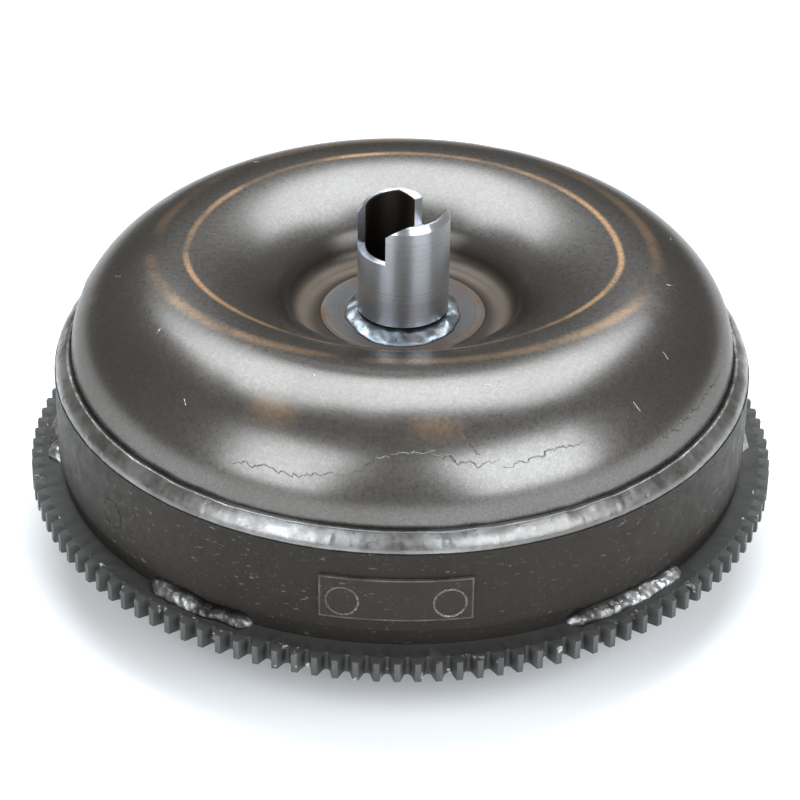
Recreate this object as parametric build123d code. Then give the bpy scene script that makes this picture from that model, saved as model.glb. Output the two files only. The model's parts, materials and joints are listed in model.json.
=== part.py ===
from build123d import *
import os
from math import acos, asin, atan2, copysign, cos, degrees, hypot, pi, radians, sin

os.makedirs("parts", exist_ok=True)

# A torque converter with its starter ring gear welded on, standing on its engine side.
# Origin: on the spin axis, in the plane of the drive pads. +Z points to the transmission.
# Every section below is drawn in the half plane of radius and height, as (r, z).

# ---------------------------------------------------------------- driving dimensions
INCH = 25.4
TOUCH = 0.05                         # gap left between parts that slide into each other

# engine side
PAD_HEIGHT = 9.0
PAD_RADIUS = 12.5
PAD_COUNT = 4
PAD_CIRCLE = 4.75 * INCH             # 9.5 inch bolt circle
PAD_TURN = 45.0                      # angle of the first pad from +X
PAD_HOLE = 4.95                      # tapping drill for a 7/16 inch bolt
PILOT_RADIUS = 22.0
PILOT_DEPTH = 12.0

# cover: a deep drawn cup
COVER_Z = PAD_HEIGHT
COVER_WALL = 4.0
COVER_CORNER = 8.0
REGISTER_RADIUS = 144.55             # seat of the ring gear
DRUM_RADIUS = 145.8
COVER_BORE = 141.0
RIM_BORE = 142.0
INSIDE_Z = COVER_Z + COVER_WALL      # inner face of the cover

# ring gear: 122 teeth of 10 diametral pitch
TEETH = 122
DIAMETRAL_PITCH = 10
TIP_RADIUS = (TEETH + 2) * INCH / DIAMETRAL_PITCH / 2
TOOTH_DEPTH = 5.0
TIP_LAND = 2.3
FLANK_ANGLE = 20.0
RING_BORE = REGISTER_RADIUS + 0.1
RING_THICK = 8.5
RING_Z = COVER_Z + COVER_CORNER
RING_TOP = RING_Z + RING_THICK
STEP_Z = RING_Z + 15.2
RIM_Z = RING_Z + 51.7                # top of the cover's rim
RING_WELD_ARC = 22.0
RING_WELD_CENTRES = (-123, -51, 8, 65, 120, 178)

# impeller torus, outside surface
SHELL = 3.0
WALL_RADIUS = 138.5
BAND_TOP = RIM_Z + 7.6
CREST_RADIUS = 92.5
CREST_Z = RING_Z + 99.8
OUTER_ARC = 34.5
DISH_ARC = 64.0
DISH_TURN = 38.0                     # slope at which the dish turns down to its floor
DISH_SMALL_ARC = 16.0
DISH_FILLET = 6.0
FLOOR_Z = RING_Z + 73.2
FLANGE_RADIUS = 35.0
FLOOR_UNDER = FLOOR_Z - SHELL

# pump drive hub
JOURNAL_RADIUS = 0.75 * INCH
NECK_RADIUS = 17.9
HUB_BORE = 15.5
NECK_TOP = RING_Z + 76.3
CHAMFER_Z = RING_Z + 119.7
HUB_TOP = RING_Z + 122.2
LEAD_IN = 1.8                        # radial width of the chamfer at the hub's mouth
SLOT_FLOOR = RING_Z + 104.8
SLOT_WIDTH = 20.2
SLOT_ANGLE = 35.0
SLOT_CHAMFER = 4.5

# balance weight, spot welded to the drum
WEIGHT_FROM = -102.1
WEIGHT_TO = -78.6
WEIGHT_THICK = 1.2
WEIGHT_Z = (RING_Z + 21.5, RING_Z + 40.6)
SPOT_ANGLES = (-98.5, -82.2)
SPOT_Z = RING_Z + 29.5
SPOT_RADIUS = 7.0

# blades and the hollow core they leave
PARTING = BAND_TOP
CORE_RADIUS = 18.0
CORE_WALL = 1.2
IMPELLER_BLADES = 31
TURBINE_BLADES = 29
BLADE_WALL = 1.0
STATOR_ZONE = 76.0                   # radius below which the stator's space starts

IMPELLER_LEAN = 8.0
TURBINE_LEAN = -22.0
STATOR_LEAN = 28.0

# turbine
TURBINE_WALL = 1.8
TURBINE_RADIUS = 133.5
TURBINE_BOTTOM = INSIDE_Z + 27.0
TURBINE_TOP = PARTING - 1.8
TURBINE_FLANGE = TURBINE_BOTTOM + 10.2
TURBINE_HUB_RADIUS = 24.0
RIVET = 2.5
RIVETS = 8
RIVET_CIRCLE = 40.0
DRIVEN_WALL = 3.0
SHAFT_SPLINE = (9.6, 10.5, 24)       # tip radius, root radius, teeth

# thrust bearings: race, needles in a cage, then the next part's face
NEEDLE = 0.95
RACE = 1.0
BEARING = (24.5, 35.5)
FRONT_BEARING = (12.5, 21.5)
NEEDLES = 24
FRONT_NEEDLES = 16
STACK = RACE + 2 * (NEEDLE + TOUCH)  # race and needles together
HUB_FOOT = INSIDE_Z + STACK          # lowest face of the turbine hub

# stator and its one-way clutch
STATOR_BLADES = 19
STATOR_HUB = (40.0, 47.0)
STATOR_TIP = 73.2
SUPPORT_SPLINE = (12.2, 13.2, 30)
INNER_RACE_RADIUS = 22.0
ROLLER = 4.0
ROLLERS = 10
SIDE_PLATE_REAR = 1.5
SIDE_PLATE_FRONT = 1.0
ROLLER_SHIFT = 1.7
RACE_HIGH = FLOOR_UNDER - STACK - SIDE_PLATE_REAR - TOUCH
RACE_LOW = RACE_HIGH - 19.7
HUB_FACE = RACE_LOW - TOUCH - SIDE_PLATE_FRONT - STACK   # bearing face of the turbine hub
STATOR_LOW = HUB_FACE + 1.7
STATOR_HIGH = FLOOR_UNDER - 1.0
SNAP_Z = RACE_HIGH + SIDE_PLATE_REAR + 0.15

# lock-up clutch and damper
PISTON_RADIUS = 134.0
PISTON_WALL = 3.0
PISTON_TRAVEL = 1.0
LINING = (114.0, 131.0)
LINING_THICK = 1.45
PISTON_Z = INSIDE_Z + PISTON_TRAVEL + TOUCH + LINING_THICK
SEAL_Z = PISTON_Z + 5.5
SPRING_CIRCLE = 112.0
SPRING_Z = PISTON_Z + 13.5
TAB_Z = SPRING_Z + 4.2               # tabs of the driven plate
SPRING_RADIUS = 6.8
SPRING_WIRE = 1.2
SPRINGS = 6
SPRING_SPAN = 38.0                   # degrees of the circle each spring fills
TABS = 8
TAB_ARC = 5.2


# ---------------------------------------------------------------- drawing helpers
def on_arc(centre, radius, angle):
    """The point of an arc at an angle in degrees."""
    return (centre[0] + radius * cos(radians(angle)), centre[1] + radius * sin(radians(angle)))


def section(*steps):
    """A closed face from points and arcs; an arc is (centre, radius, first angle, last angle)."""
    edges = []
    first = last = None
    for step in steps:
        arc = len(step) == 4
        start = on_arc(step[0], step[1], step[2]) if arc else step
        end = on_arc(step[0], step[1], step[3]) if arc else step
        if first is None:
            first = start
        elif hypot(start[0] - last[0], start[1] - last[1]) > 1e-6:
            edges.append(Line(last, start))
        if arc:
            middle = on_arc(step[0], step[1], (step[2] + step[3]) / 2)
            edges.append(ThreePointArc(start, middle, end))
        last = end
    if hypot(first[0] - last[0], first[1] - last[1]) > 1e-6:
        edges.append(Line(last, first))
    return make_face(edges)


def spun(*steps, start=0.0, sweep=360.0):
    """A section turned about the axis, over the whole circle or from start through sweep."""
    solid = revolve(Plane.XZ * section(*steps), Axis.Z, sweep)
    return Rot(0, 0, start) * solid


def ring(inner, outer, low, high):
    """A plain ring or disc."""
    face = Circle(outer) - Circle(inner) if inner else Circle(outer)
    return Pos(0, 0, low) * extrude(face, high - low)


def around(solid, count, start=0.0):
    """Copies of a solid spread evenly about the axis."""
    return [Rot(0, 0, start + 360.0 * i / count) * solid for i in range(count)]


def reverse(arcs):
    """The same arcs walked the other way."""
    return [(centre, radius, last, first) for centre, radius, first, last in reversed(arcs)]


def offset(arcs, depth):
    """Arcs moved inwards by depth, towards their centres."""
    return [(centre, radius - depth, first, last) for centre, radius, first, last in arcs]


def from_height(arc, z):
    """An arc on the outer wall, started at height z instead of at its wall end."""
    centre, radius, _, last = arc
    return (centre, radius, degrees(asin((z - centre[1]) / radius)), last)


def quadrant(crest, width, drop, small):
    """Two tangent arcs from an upright wall to a level crest; drop < 0 turns it over."""
    side = copysign(1, width)
    up = copysign(1, drop)
    w = abs(width)
    d = abs(drop)
    large = ((w - small) ** 2 + d ** 2 - small ** 2) / (2 * (d - small))
    small_centre = (crest[0] + side * (w - small), crest[1] - up * d)
    large_centre = (crest[0], crest[1] - up * large)
    join = degrees(atan2(small_centre[1] - large_centre[1], small_centre[0] - large_centre[0]))
    wall = 0 if side > 0 else 180 * up
    return [(small_centre, small, wall, join), (large_centre, large, join, 90 * up)]


def save(node, *solids):
    """Write one node: a single solid or a group of separate ones."""
    flat = []
    for item in solids:
        flat.extend(item if isinstance(item, list) else [item])
    pieces = [solid for shape in flat for solid in shape.solids()]
    shape = pieces[0] if len(pieces) == 1 else Compound(children=pieces)
    shape.label = node
    export_step(shape, f"parts/{node}.step")


# ---------------------------------------------------------------- cover and engine side
def front_cover():
    """Drawn cup with a register for the ring gear and a bored rim for the impeller."""
    corner = ((REGISTER_RADIUS - COVER_CORNER, RING_Z), COVER_CORNER, -90, 0)
    inner = 6.0
    inside = ((COVER_BORE - inner, INSIDE_Z + inner), inner, 0, -90)
    return spun(
        (0, COVER_Z),
        corner,
        (REGISTER_RADIUS, STEP_Z),
        (DRUM_RADIUS, STEP_Z + 0.6),
        (DRUM_RADIUS, RIM_Z),
        (RIM_BORE, RIM_Z),
        (RIM_BORE, RIM_Z - 9.0),
        (COVER_BORE, RIM_Z - 9.0),
        inside,
        (0, INSIDE_Z),
    )


def crank_pilot():
    """Turned stub that centres the converter in the crankshaft."""
    return spun(
        (0, -PILOT_DEPTH),
        (PILOT_RADIUS - 1.5, -PILOT_DEPTH),
        (PILOT_RADIUS, -PILOT_DEPTH + 1.5),
        (PILOT_RADIUS, 1.5),
        (PILOT_RADIUS + 5.0, 4.0),
        (PILOT_RADIUS + 5.0, COVER_Z),
        (0, COVER_Z),
    )


def fillet_ring(radius, base, leg):
    """A weld fillet round a boss that stands down from a face."""
    return spun((radius, base), (radius + leg, base), (radius, base - leg))


def drive_pad():
    """Tapped pad for one flexplate bolt."""
    disc = chamfer(Cylinder(PAD_RADIUS, PAD_HEIGHT).edges().group_by(Axis.Z)[0], 1.0)
    pad = Pos(PAD_CIRCLE, 0, PAD_HEIGHT / 2) * disc
    return pad - Pos(PAD_CIRCLE, 0, 0) * Cylinder(PAD_HOLE, 3 * PAD_HEIGHT)


def pad_weld():
    """Short weld on the inner half of a pad's foot, where the cover is flat."""
    leg = 3.0
    bead = spun((PAD_RADIUS, 0), (PAD_RADIUS + leg, 0), (PAD_RADIUS, -leg), start=110, sweep=140)
    return Pos(PAD_CIRCLE, 0, COVER_Z) * bead


# ---------------------------------------------------------------- ring gear and welds
def ring_gear():
    """Starter ring gear with straight flanks and round roots."""
    gap = 2 * pi * TIP_RADIUS / TEETH - TIP_LAND
    half = gap / 2
    slope = radians(FLANK_ANGLE)
    centre_depth = (TOOTH_DEPTH - half * cos(slope)) / (1 - sin(slope))
    root = TOOTH_DEPTH - centre_depth
    touch_depth = centre_depth + root * sin(slope)
    touch_half = root * cos(slope)
    tip_dip = half ** 2 / (2 * TIP_RADIUS)
    shape = ((-half, tip_dip), (-touch_half, touch_depth), (0, TOOTH_DEPTH),
             (touch_half, touch_depth), (half, tip_dip))
    edges = []
    last = None
    for i in range(TEETH):
        angle = radians(360.0 * i / TEETH)
        spots = []
        for along, depth in shape:
            r = TIP_RADIUS - depth
            spots.append((r * cos(angle) - along * sin(angle), r * sin(angle) + along * cos(angle)))
        if last is None:
            first = spots[0]
        else:
            edges.append(Line(last, spots[0]))
        edges.append(Line(spots[0], spots[1]))
        edges.append(ThreePointArc(spots[1], spots[2], spots[3]))
        edges.append(Line(spots[3], spots[4]))
        last = spots[4]
    edges.append(Line(last, first))
    face = make_face(edges) - Circle(RING_BORE)
    return Pos(0, 0, RING_Z) * extrude(face, RING_THICK)


def ring_gear_weld(centre):
    """One fillet between the ring gear's top and the cover's register."""
    return spun(
        (REGISTER_RADIUS, RING_TOP),
        (REGISTER_RADIUS + 7.0, RING_TOP),
        (REGISTER_RADIUS + 5.2, RING_TOP + 2.0),
        (REGISTER_RADIUS + 2.2, RING_TOP + 4.4),
        (REGISTER_RADIUS, RING_TOP + 5.6),
        start=centre - RING_WELD_ARC / 2,
        sweep=RING_WELD_ARC,
    )


def balance_weight():
    """Thin curved plate on the drum."""
    low, high = WEIGHT_Z
    return spun(
        (DRUM_RADIUS, low),
        (DRUM_RADIUS + WEIGHT_THICK, low),
        (DRUM_RADIUS + WEIGHT_THICK, high),
        (DRUM_RADIUS, high),
        start=WEIGHT_FROM,
        sweep=WEIGHT_TO - WEIGHT_FROM,
    )


def spot_weld(angle):
    """Low round nugget of one spot weld, on the weight's face."""
    face = DRUM_RADIUS + WEIGHT_THICK
    rod = Pos(face, 0, SPOT_Z) * Rot(0, 90, 0) * Cylinder(SPOT_RADIUS, 8.0)
    nugget = rod & ring(face, face + 0.5, SPOT_Z - 10, SPOT_Z + 10)
    return Rot(0, 0, angle) * nugget


# ---------------------------------------------------------------- impeller
def torus_outside():
    """Outer surface arcs of the impeller, from the upright wall over the crest to the floor."""
    crest = (CREST_RADIUS, CREST_Z)
    outer = quadrant(crest, WALL_RADIUS - CREST_RADIUS, CREST_Z - BAND_TOP, OUTER_ARC)
    dish = ((CREST_RADIUS, CREST_Z - DISH_ARC), DISH_ARC, 90, 90 + DISH_TURN)
    turn = on_arc(dish[0], DISH_ARC - DISH_SMALL_ARC, 90 + DISH_TURN)
    reach = DISH_SMALL_ARC + DISH_FILLET
    rise = FLOOR_Z + DISH_FILLET - turn[1]
    lean = degrees(asin(rise / reach))
    small = (turn, DISH_SMALL_ARC, 90 + DISH_TURN, 180 - lean)
    fillet_centre = on_arc(turn, reach, 180 - lean)
    return outer + [dish, small], (fillet_centre, DISH_FILLET, -lean, -90)


def impeller_shell():
    """Pressed half of the torus; its lip slides inside the cover's rim."""
    arcs, foot = torus_outside()
    foot_under = (foot[0], foot[1] + SHELL, foot[3], foot[2])
    lip = RIM_BORE - TOUCH
    jog = BAND_TOP - 3.8
    return spun(
        (lip, RIM_Z - 8.8),
        (lip, RIM_Z),
        (WALL_RADIUS, jog),
        *arcs,
        foot,
        (FLANGE_RADIUS, FLOOR_Z),
        (FLANGE_RADIUS, FLOOR_UNDER),
        foot_under,
        *reverse(offset(arcs, SHELL)),
        (WALL_RADIUS - SHELL, jog - 1.5),
        (lip - SHELL, RIM_Z - 1.5),
        (lip - SHELL, RIM_Z - 8.8),
    )


def closure_weld():
    """Weld band that joins the cover's rim to the impeller."""
    lip = RIM_BORE - TOUCH
    jog = BAND_TOP - 3.8
    bulge = 1.0
    return spun(
        (lip, RIM_Z),
        (DRUM_RADIUS, RIM_Z),
        (DRUM_RADIUS - 1.2 + bulge, RIM_Z + 2.6),
        (DRUM_RADIUS - 3.3 + bulge, RIM_Z + 5.4),
        (140.8, BAND_TOP),
        (WALL_RADIUS, BAND_TOP),
        (WALL_RADIUS, jog),
    )


def hub_flange():
    """Flat disc welded into the dish, which carries the pump hub."""
    return ring(NECK_RADIUS + TOUCH, FLANGE_RADIUS - TOUCH, FLOOR_UNDER, FLOOR_Z)


def slot_half():
    """Cutter for one end of the drive slot, with one chamfered upper corner."""
    half = SLOT_WIDTH / 2
    above = HUB_TOP + 5.0
    shoulder = HUB_TOP - SLOT_CHAMFER
    outline = Polyline(
        (-half, SLOT_FLOOR),
        (half, SLOT_FLOOR),
        (half, shoulder),
        (half + SLOT_CHAMFER + 5.0, above),
        (-half, above),
        close=True,
    )
    reach = JOURNAL_RADIUS + 5.0
    return extrude(Plane.YZ * make_face(outline), reach)


def impeller_hub():
    """Ground pump hub: journal, relief neck, lead-in chamfer and two drive slots."""
    hub = spun(
        (HUB_BORE, FLOOR_UNDER),
        (NECK_RADIUS, FLOOR_UNDER),
        (NECK_RADIUS, NECK_TOP),
        (JOURNAL_RADIUS, NECK_TOP),
        (JOURNAL_RADIUS, CHAMFER_Z),
        (JOURNAL_RADIUS - LEAD_IN, HUB_TOP),
        (HUB_BORE + 0.8, HUB_TOP),
        (HUB_BORE, HUB_TOP - 0.8),
    )
    cutter = slot_half()
    hub = hub - Rot(0, 0, SLOT_ANGLE) * cutter
    return hub - Rot(0, 0, SLOT_ANGLE + 180) * cutter


def hub_weld():
    """Fillet between the hub's neck and its flange."""
    return spun(
        (NECK_RADIUS, FLOOR_Z),
        (NECK_RADIUS + 9.3, FLOOR_Z),
        (NECK_RADIUS + 7.5, FLOOR_Z + 0.9),
        (NECK_RADIUS + 3.0, FLOOR_Z + 1.6),
        (NECK_RADIUS, FLOOR_Z + 1.8),
    )


def core_ring(z, up):
    """Half of the hollow core ring; up is 1 for the impeller's half and -1 for the turbine's."""
    centre = (CREST_RADIUS, z)
    return spun(
        (centre, CORE_RADIUS, 0, 180 * up),
        (centre, CORE_RADIUS - CORE_WALL, 180 * up, 0),
    )


def blade_set(cavity, core, count, lean):
    """Thin plates that fill the space between a shell and its core ring."""
    plate = Pos(CREST_RADIUS, 0, PARTING) * (Rot(lean, 0, 0) * Box(110.0, BLADE_WALL, 120.0))
    blade = (cavity & plate) - core
    return around(max(blade.solids(), key=lambda solid: solid.volume), count)


def impeller_blades():
    """Impeller blades, held off the shell and the core by a paper-thin gap."""
    arcs, foot = torus_outside()
    inner = offset(arcs, SHELL + 0.1)
    low = PARTING + 2.0
    above = FLOOR_UNDER + 4.5
    inlet = STATOR_ZONE - 19.0
    cavity = spun(
        from_height(inner[0], low),
        *inner[1:3],
        (inlet, above + 8.0),
        (inlet, above),
        (STATOR_ZONE, above),
        (STATOR_ZONE, low),
    )
    core = Pos(0, 0, PARTING + 1.0) * Torus(CREST_RADIUS, CORE_RADIUS + 0.1)
    return blade_set(cavity, core, IMPELLER_BLADES, IMPELLER_LEAN)


# ---------------------------------------------------------------- turbine
def turbine_arcs():
    """Engine side surface of the turbine shell: wall to bottom, then the foot at its flange."""
    bottom = (CREST_RADIUS, TURBINE_BOTTOM)
    outer = quadrant(bottom, TURBINE_RADIUS - CREST_RADIUS, TURBINE_BOTTOM - TURBINE_TOP, 30.0)
    convex = 45.0
    concave = 20.0
    lean = degrees(acos(1 - (TURBINE_FLANGE - TURBINE_BOTTOM) / (convex + concave)))
    centre = (CREST_RADIUS, TURBINE_BOTTOM + convex)
    foot_centre = on_arc(centre, convex + concave, -90 - lean)
    return outer + [(centre, convex, -90, -90 - lean)], (foot_centre, concave, 90 - lean, 90)


def turbine_shell():
    """Pressed turbine shell with a flat flange for its hub."""
    arcs, foot = turbine_arcs()
    foot_top = (foot[0], foot[1] + TURBINE_WALL, foot[3], foot[2])
    bore = TURBINE_HUB_RADIUS + TOUCH
    shell = spun(
        (TURBINE_RADIUS, TURBINE_TOP),
        *arcs,
        foot,
        (bore, TURBINE_FLANGE),
        (bore, TURBINE_FLANGE + TURBINE_WALL),
        foot_top,
        *reverse(offset(arcs, TURBINE_WALL)),
        (TURBINE_RADIUS - TURBINE_WALL, TURBINE_TOP),
    )
    return shell - rivet_holes()


def turbine_blades():
    """Turbine blades, leaned the opposite way to the impeller's."""
    arcs, foot = turbine_arcs()
    inner = offset(arcs, TURBINE_WALL + 0.1)
    high = TURBINE_TOP - 1.0
    below = STATOR_LOW - 1.0
    outlet = STATOR_ZONE - 8.0
    cavity = spun(
        from_height(inner[0], high),
        *inner[1:],
        (outlet, below),
        (STATOR_ZONE, below),
        (STATOR_ZONE, high),
    )
    core = Pos(0, 0, PARTING - 1.0) * Torus(CREST_RADIUS, CORE_RADIUS + 0.1)
    return blade_set(cavity, core, TURBINE_BLADES, TURBINE_LEAN)


def rivet_holes():
    """Clearance for the rivets through the turbine's flange stack."""
    drill = Pos(RIVET_CIRCLE, 0, TURBINE_FLANGE) * Cylinder(RIVET + TOUCH, 30.0)
    return around(drill, RIVETS)


def rivet():
    """One rivet through driven plate, turbine shell and hub flange."""
    low = TURBINE_FLANGE - DRIVEN_WALL
    shape = spun(
        (0, low - 1.3),
        (3.0, low - 1.3),
        (3.5, low),
        (RIVET, low),
        (RIVET, HUB_FACE),
        (3.5, HUB_FACE),
        (3.0, HUB_FACE + 1.2),
        (0, HUB_FACE + 1.2),
    )
    return Pos(RIVET_CIRCLE, 0, 0) * shape


def spline_bore(spline, low, high):
    """Cutter with straight-sided teeth, for a splined hole."""
    tip, root, teeth = spline
    half = 90.0 / teeth
    points = []
    for i in range(teeth):
        middle = 360.0 * i / teeth
        for radius, angle in ((tip, -half), (root, -half), (root, half), (tip, half)):
            points.append(on_arc((0, 0), radius, middle + angle))
    return Pos(0, 0, low) * extrude(make_face(Polyline(*points, close=True)), high - low)


def turbine_hub():
    """Splined hub with a flange, a bearing face and a groove for the piston's seal."""
    body = spun(
        (0, HUB_FOOT),
        (TURBINE_HUB_RADIUS, HUB_FOOT),
        (TURBINE_HUB_RADIUS, SEAL_Z),
        (TURBINE_HUB_RADIUS - 2.5, SEAL_Z),
        (TURBINE_HUB_RADIUS - 2.5, SEAL_Z + 2.2),
        (TURBINE_HUB_RADIUS, SEAL_Z + 2.2),
        (TURBINE_HUB_RADIUS, TURBINE_FLANGE + TURBINE_WALL),
        (RIVET_CIRCLE + 4.0, TURBINE_FLANGE + TURBINE_WALL),
        (RIVET_CIRCLE + 4.0, HUB_FACE),
        (0, HUB_FACE),
    )
    body = body - spline_bore(SHAFT_SPLINE, HUB_FOOT - 1, HUB_FACE + 1)
    return body - rivet_holes()


def damper_driven_plate():
    """Dished plate riveted to the turbine; its tabs stand between the springs."""
    low = TURBINE_FLANGE - DRIVEN_WALL
    dish = spun(
        (TURBINE_HUB_RADIUS + TOUCH, low),
        (48.0, low),
        (66.0, TAB_Z),
        (98.0, TAB_Z),
        (98.0, TAB_Z + 2.4),
        (67.5, TAB_Z + 2.4),
        (49.5, TURBINE_FLANGE),
        (TURBINE_HUB_RADIUS + TOUCH, TURBINE_FLANGE),
    )
    gap = 360.0 / SPRINGS - SPRING_SPAN - 1.0
    tab = spun(
        (97.0, TAB_Z),
        (121.0, TAB_Z),
        (121.0, TAB_Z + 2.4),
        (97.0, TAB_Z + 2.4),
        start=180.0 / SPRINGS - gap / 2,
        sweep=gap,
    )
    for piece in around(tab, SPRINGS):
        dish = dish + piece
    return dish - rivet_holes()


# ---------------------------------------------------------------- lock-up clutch and damper
def lockup_piston():
    """Flat piston that slides on the turbine hub; its rim tabs turn the spring carrier."""
    tab_top = PISTON_Z + 17.5
    rim_top = PISTON_Z + 8.5
    plate = spun(
        (TURBINE_HUB_RADIUS + 2 * TOUCH, PISTON_Z),
        (PISTON_RADIUS, PISTON_Z),
        (PISTON_RADIUS, tab_top),
        (PISTON_RADIUS - 2.5, tab_top),
        (PISTON_RADIUS - 2.5, PISTON_Z + PISTON_WALL),
        (TURBINE_HUB_RADIUS + 5.0, PISTON_Z + PISTON_WALL),
        (TURBINE_HUB_RADIUS + 5.0, PISTON_Z + 14.5),
        (TURBINE_HUB_RADIUS + 2 * TOUCH, PISTON_Z + 14.5),
    )
    pitch = 360.0 / TABS
    notch = spun(
        (PISTON_RADIUS - 4.0, rim_top),
        (PISTON_RADIUS + 2.0, rim_top),
        (PISTON_RADIUS + 2.0, tab_top + 2.0),
        (PISTON_RADIUS - 4.0, tab_top + 2.0),
        start=TAB_ARC / 2,
        sweep=pitch - TAB_ARC,
    )
    return plate - around(notch, TABS)


def friction_lining():
    """Bonded paper lining that grips the cover."""
    return ring(LINING[0], LINING[1], PISTON_Z - LINING_THICK, PISTON_Z)


def spring_carrier():
    """Plate with a window for each damper spring and a slot for each piston tab."""
    plate = ring(92.0, PISTON_RADIUS + 1.8, SPRING_Z - 1.2, SPRING_Z + 1.2)
    chord = 2 * SPRING_CIRCLE * sin(radians(SPRING_SPAN / 2)) + 1.0
    width = 2 * (SPRING_RADIUS + SPRING_WIRE) + 0.6
    window = Pos(SPRING_CIRCLE, 0, SPRING_Z) * Box(width, chord, 6.0)
    slot = spun(
        (PISTON_RADIUS - 2.8, SPRING_Z - 3.0),
        (PISTON_RADIUS + 4.0, SPRING_Z - 3.0),
        (PISTON_RADIUS + 4.0, SPRING_Z + 3.0),
        (PISTON_RADIUS - 2.8, SPRING_Z + 3.0),
        start=-TAB_ARC / 2 - 0.1,
        sweep=TAB_ARC + 0.2,
    )
    return plate - around(window, SPRINGS) - around(slot, TABS)


def damper_spring():
    """One coil spring lying along the carrier's window."""
    chord = 2 * SPRING_CIRCLE * sin(radians(SPRING_SPAN / 2)) - 2 * SPRING_WIRE
    path = Helix(chord / 9, chord, SPRING_RADIUS)
    wire = sweep(Plane(path @ 0, z_dir=path % 0) * Circle(SPRING_WIRE), path)
    return Pos(SPRING_CIRCLE, chord / 2, SPRING_Z) * (Rot(90, 0, 0) * wire)


def piston_seal():
    """Split-free sliding ring in the turbine hub's groove."""
    return ring(TURBINE_HUB_RADIUS - 2.4, TURBINE_HUB_RADIUS + TOUCH, SEAL_Z + 0.1, SEAL_Z + 2.1)


# ---------------------------------------------------------------- stator and one-way clutch
def stator_wheel():
    """Cast wheel: hub, leaning blades and an outer shroud."""
    bore, hub = STATOR_HUB
    wheel = spun(
        (bore - 2.5, STATOR_LOW),
        (hub, STATOR_LOW),
        (hub, STATOR_HIGH),
        (bore, STATOR_HIGH),
        (bore, SNAP_Z + 1.35),
        (bore + 1.5, SNAP_Z + 1.35),
        (bore + 1.5, SNAP_Z - 0.05),
        (bore, SNAP_Z - 0.05),
        (bore, STATOR_LOW + 1.2),
        (bore - 2.5, STATOR_LOW + 1.2),
    )
    low = STATOR_LOW + 3.0
    high = STATOR_HIGH - 1.6
    wheel = wheel + ring(STATOR_TIP - 2.4, STATOR_TIP, low, high)
    middle = (low + high) / 2
    plate = Pos((hub + STATOR_TIP) / 2, 0, middle) * (Rot(STATOR_LEAN, 0, 0) * Box(40.0, 2.4, 32.0))
    blade = plate & ring(hub - 0.5, STATOR_TIP - 1.2, low, high)
    for piece in around(blade, STATOR_BLADES):
        wheel = wheel + piece
    return wheel


def clutch_outer_race():
    """Outer race of the one-way clutch, with a pocket for each roller."""
    face = Circle(STATOR_HUB[0] - TOUCH) - Circle(INNER_RACE_RADIUS + 6.5)
    for i in range(ROLLERS):
        face = face - Rot(0, 0, 360.0 * i / ROLLERS) * Pos(INNER_RACE_RADIUS + 2.6, 0) * Circle(6.5)
    return Pos(0, 0, RACE_LOW) * extrude(face, RACE_HIGH - RACE_LOW)


def clutch_rollers():
    """Rollers, each wedged to one side of its pocket."""
    length = RACE_HIGH - RACE_LOW - 1.0
    radius = INNER_RACE_RADIUS + TOUCH + ROLLER
    roller = Pos(radius, ROLLER_SHIFT, (RACE_LOW + RACE_HIGH) / 2) * Cylinder(ROLLER, length)
    return around(roller, ROLLERS)


def clutch_springs():
    """Rolled strip springs that push the rollers into their wedges."""
    length = RACE_HIGH - RACE_LOW - 4.0
    roll = ring(1.05, 1.3, RACE_LOW + 2.0, RACE_LOW + 2.0 + length)
    return around(Pos(INNER_RACE_RADIUS + 4.5, -3.7, 0) * roll, ROLLERS)


def stator_inner_race():
    """Inner race, splined to the fixed support shaft."""
    race = ring(0, INNER_RACE_RADIUS, RACE_LOW + TOUCH, RACE_HIGH - TOUCH)
    return race - spline_bore(SUPPORT_SPLINE, RACE_LOW - 1, RACE_HIGH + 1)


def side_plate(low, thick):
    """Thrust plate that closes one end of the one-way clutch."""
    return ring(INNER_RACE_RADIUS - 6.0, STATOR_HUB[0] - 2 * TOUCH, low, low + thick)


def snap_ring():
    """Open ring in the stator's groove."""
    bore = STATOR_HUB[0]
    gap = Pos(bore, 0, SNAP_Z) * Box(8.0, 7.0, 6.0)
    return ring(bore - 1.8, bore + 1.3, SNAP_Z, SNAP_Z + 1.2) - gap


# ---------------------------------------------------------------- thrust bearings
def thrust_bearing(face_z, span, count):
    """Cage and needles of a bearing whose lower race face is at face_z."""
    inner, outer = span
    middle = face_z + TOUCH + NEEDLE
    centre = (inner + outer) / 2
    length = outer - inner - 3.0
    needle = Pos(centre, 0, middle) * (Rot(0, 90, 0) * Cylinder(NEEDLE, length))
    pocket = Pos(centre, 0, middle) * Box(length + 0.2, 2 * NEEDLE + 0.2, 4.0)
    cage = ring(inner, outer, middle - 0.6, middle + 0.6) - around(pocket, count)
    return cage, around(needle, count)


# ---------------------------------------------------------------- write every piece
save("front_cover", front_cover())
save("crank_pilot", crank_pilot())
save("pilot_weld", fillet_ring(PILOT_RADIUS + 5.0, COVER_Z, 3.0))
save("drive_pads", around(drive_pad(), PAD_COUNT, PAD_TURN))
save("drive_pad_welds", around(pad_weld(), PAD_COUNT, PAD_TURN))
save("ring_gear", ring_gear())
save("ring_gear_welds", [ring_gear_weld(centre) for centre in RING_WELD_CENTRES])
save("balance_weight", balance_weight())
save("balance_spot_welds", [spot_weld(angle) for angle in SPOT_ANGLES])
save("closure_weld", closure_weld())
save("impeller_shell", impeller_shell())
save("impeller_blades", impeller_blades())
save("impeller_core_ring", core_ring(PARTING + 1.0, 1))
save("hub_flange", hub_flange())
save("impeller_hub", impeller_hub())
save("hub_weld", hub_weld())

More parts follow.
